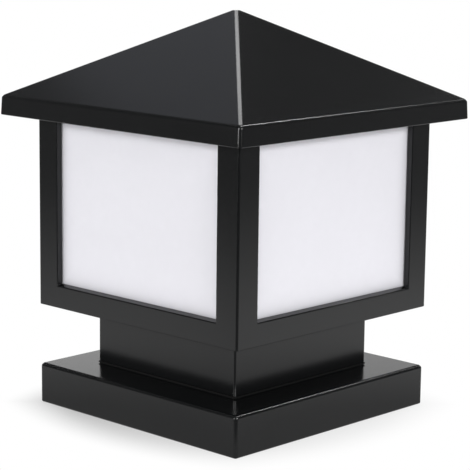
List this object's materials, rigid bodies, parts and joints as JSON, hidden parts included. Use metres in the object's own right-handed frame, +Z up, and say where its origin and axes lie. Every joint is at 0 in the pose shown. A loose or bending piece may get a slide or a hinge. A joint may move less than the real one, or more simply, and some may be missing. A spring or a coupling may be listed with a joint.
{
  "type": "pillar light",
  "caption": "Square outdoor pillar light with a hipped roof, opal windows in a corner-post frame, a neck and a plinth base that bolts to a gate post or wall top.",
  "frame": {"origin": "centre of the base's underside", "axes": "+Z up along the light's axis, -Y the front face, +X the right-hand face"},
  "size_m": [0.25, 0.25, 0.3024],
  "materials": {
    "black_powder_coat": "satin",
    "opal_acrylic": "gloss",
    "black_rubber": "matte",
    "grey_silicone": "matte",
    "aluminium_strip": "mill finish",
    "galvanised_steel": "galvanised sheet",
    "stainless_steel": "turned",
    "black_nylon": "matte",
    "white_nylon": "satin",
    "brass": "stamped",
    "tinned_copper": "tinned",
    "brown_pvc": "satin",
    "blue_pvc": "satin",
    "green_pvc": "satin",
    "white_porcelain": "gloss",
    "nickel_plate": "plated",
    "black_glass": "gloss",
    "white_plastic": "satin",
    "opal_plastic": "satin"
  },
  "bodies": {
    "lantern": {"base": "black_powder_coat", "bracket_studs": "stainless_steel", "corner_retainer_back_left": "aluminium_strip", "corner_retainer_back_right": "aluminium_strip", "corner_retainer_front_left": "aluminium_strip", "corner_retainer_front_right": "aluminium_strip", "diffuser_back": "opal_acrylic", "diffuser_front": "opal_acrylic", "diffuser_left": "opal_acrylic", "diffuser_right": "opal_acrylic", "diffuser_seal_back": "grey_silicone", "diffuser_seal_front": "grey_silicone", "diffuser_seal_left": "grey_silicone", "diffuser_seal_right": "grey_silicone", "earth_lead": "green_pvc", "earth_screw": "stainless_steel", "earth_tag": "tinned_copper", "gear_tray": "galvanised_steel", "gland_body": "black_nylon", "gland_cap": "black_nylon", "gland_locknut": "black_nylon", "gland_seal": "black_rubber", "holder_bracket": "galvanised_steel", "holder_bracket_screws": "stainless_steel", "lampholder_body": "white_porcelain", "lampholder_contact": "brass", "lampholder_screws": "stainless_steel", "lampholder_shell": "brass", "lantern_frame": "black_powder_coat", "live_lead": "brown_pvc", "mounting_bracket": "galvanised_steel", "neck": "black_powder_coat", "neck_base_gasket": "black_rubber", "neck_base_screws": "stainless_steel", "neck_frame_screws": "stainless_steel", "neck_top_gasket": "black_rubber", "neutral_lead": "blue_pvc", "retainer_screws": "stainless_steel", "roof_gasket": "black_rubber", "roof_screws": "stainless_steel", "stud_nuts": "stainless_steel", "stud_washers": "stainless_steel", "terminal_block": "white_nylon", "terminal_fixing_screw": "stainless_steel", "terminal_screws": "brass", "tray_gasket": "black_rubber", "tray_screws": "stainless_steel"},
    "roof": {"roof": "black_powder_coat"},
    "bulb_tip": {"bulb_tip_contact": "brass"},
    "bulb": {"bulb_cap": "nickel_plate", "bulb_insulator": "black_glass", "bulb_housing": "white_plastic", "bulb_globe": "opal_plastic"}
  },
  "joints": [
    {"name": "roof_lift", "type": "slide", "parent": "lantern", "child": "roof", "axis": [0, 0, 1], "range_m": [0, 0.12]},
    {"name": "bulb_lift", "type": "slide", "parent": "lantern", "child": "bulb_tip", "axis": [0, 0, 1], "range_m": [0, 0.0145]},
    {"name": "bulb_turn", "type": "hinge", "parent": "bulb_tip", "child": "bulb", "pos_m": [0, 0, 0.12], "axis": [0, 0, 1], "range_deg": [0, 1440]}
  ],
  "couplings": [
    {"joint": "bulb_turn", "follows": "bulb_lift", "rad_per_m": 1731.4}
  ]
}
